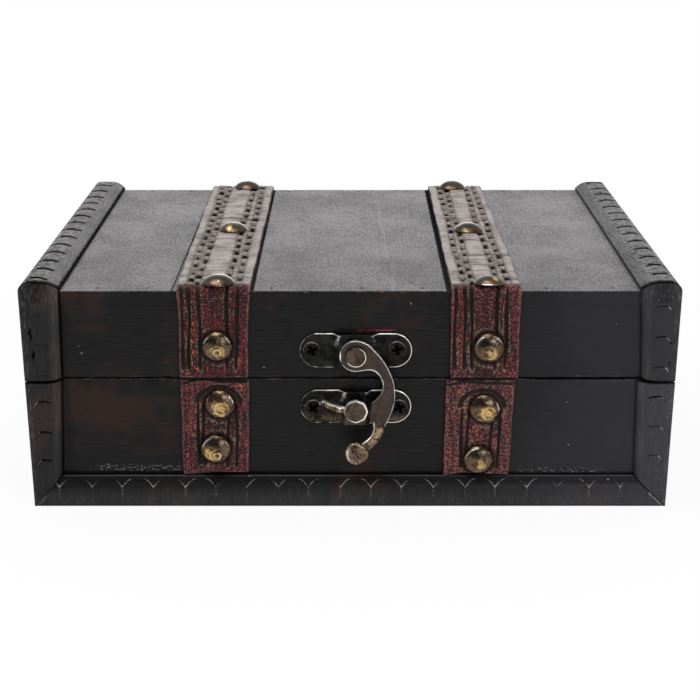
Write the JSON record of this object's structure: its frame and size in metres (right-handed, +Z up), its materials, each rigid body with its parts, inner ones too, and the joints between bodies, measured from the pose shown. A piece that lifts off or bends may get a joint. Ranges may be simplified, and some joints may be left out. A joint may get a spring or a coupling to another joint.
{
  "type": "ditty box",
  "caption": "Small wooden box for papers and keepsakes, with a hinged lid, carved mouldings, leather straps, domed nails and a swing hook latch.",
  "frame": {"origin": "middle of the underside of the bottom board, on the surface that the box stands on", "axes": "+X along the front to the viewer's right, +Y from the front to the hinged back, +Z up"},
  "size_m": [0.225, 0.1678, 0.0839],
  "materials": {
    "stained_wood": "dark brown-black stain, satin, rubbed to reddish brown in places",
    "carved_wood": "the same stain on carved mouldings, light wear on the carved edges",
    "strap_leather": "aged red-brown leather, mottled, with pressed stitch lines",
    "aged_brass": "antique brass, dented, dark in the hollows",
    "antique_bronze": "dark antique bronze with bright worn edges",
    "dark_screw": "blackened steel",
    "hinge_steel": "antique bronze plating"
  },
  "bodies": {
    "base": {"base_bottom_board": "stained_wood", "base_front_board": "stained_wood", "base_back_board": "stained_wood", "base_left_board": "stained_wood", "base_right_board": "stained_wood", "base_foot_moulding": "carved_wood", "base_left_moulding": "carved_wood", "base_right_moulding": "carved_wood", "front_left_tab": "strap_leather", "front_right_tab": "strap_leather", "back_left_tab": "strap_leather", "back_right_tab": "strap_leather", "front_tab_nails": "aged_brass", "back_tab_nails": "aged_brass", "catch_plate": "antique_bronze", "catch_plate_screws": "dark_screw", "catch_post": "antique_bronze", "left_hinge_base_leaf": "hinge_steel", "right_hinge_base_leaf": "hinge_steel", "left_hinge_pin": "hinge_steel", "right_hinge_pin": "hinge_steel", "hinge_base_screws": "hinge_steel"},
    "lid": {"lid_top_board": "stained_wood", "lid_front_board": "stained_wood", "lid_back_board": "stained_wood", "lid_left_board": "stained_wood", "lid_right_board": "stained_wood", "lid_left_moulding": "carved_wood", "lid_right_moulding": "carved_wood", "top_left_moulding": "carved_wood", "top_right_moulding": "carved_wood", "lid_left_strap": "strap_leather", "lid_right_strap": "strap_leather", "lid_left_nails": "aged_brass", "lid_right_nails": "aged_brass", "hook_plate": "antique_bronze", "hook_rivet": "antique_bronze", "hook_plate_screws": "dark_screw", "left_hinge_lid_leaf": "hinge_steel", "right_hinge_lid_leaf": "hinge_steel", "hinge_lid_screws": "hinge_steel", "top_board_brads": "dark_screw"},
    "hook": {"swing_hook": "antique_bronze"}
  },
  "joints": [
    {"name": "lid_hinge", "type": "hinge", "parent": "base", "child": "lid", "pos_m": [0, 0.0781, 0.0472], "axis": [-1, 0, 0], "range_deg": [0, 140]},
    {"name": "hook_swing", "type": "hinge", "parent": "lid", "child": "hook", "pos_m": [0.002, -0.076, 0.057], "axis": [0, -1, 0], "range_deg": [-7, 270]}
  ]
}
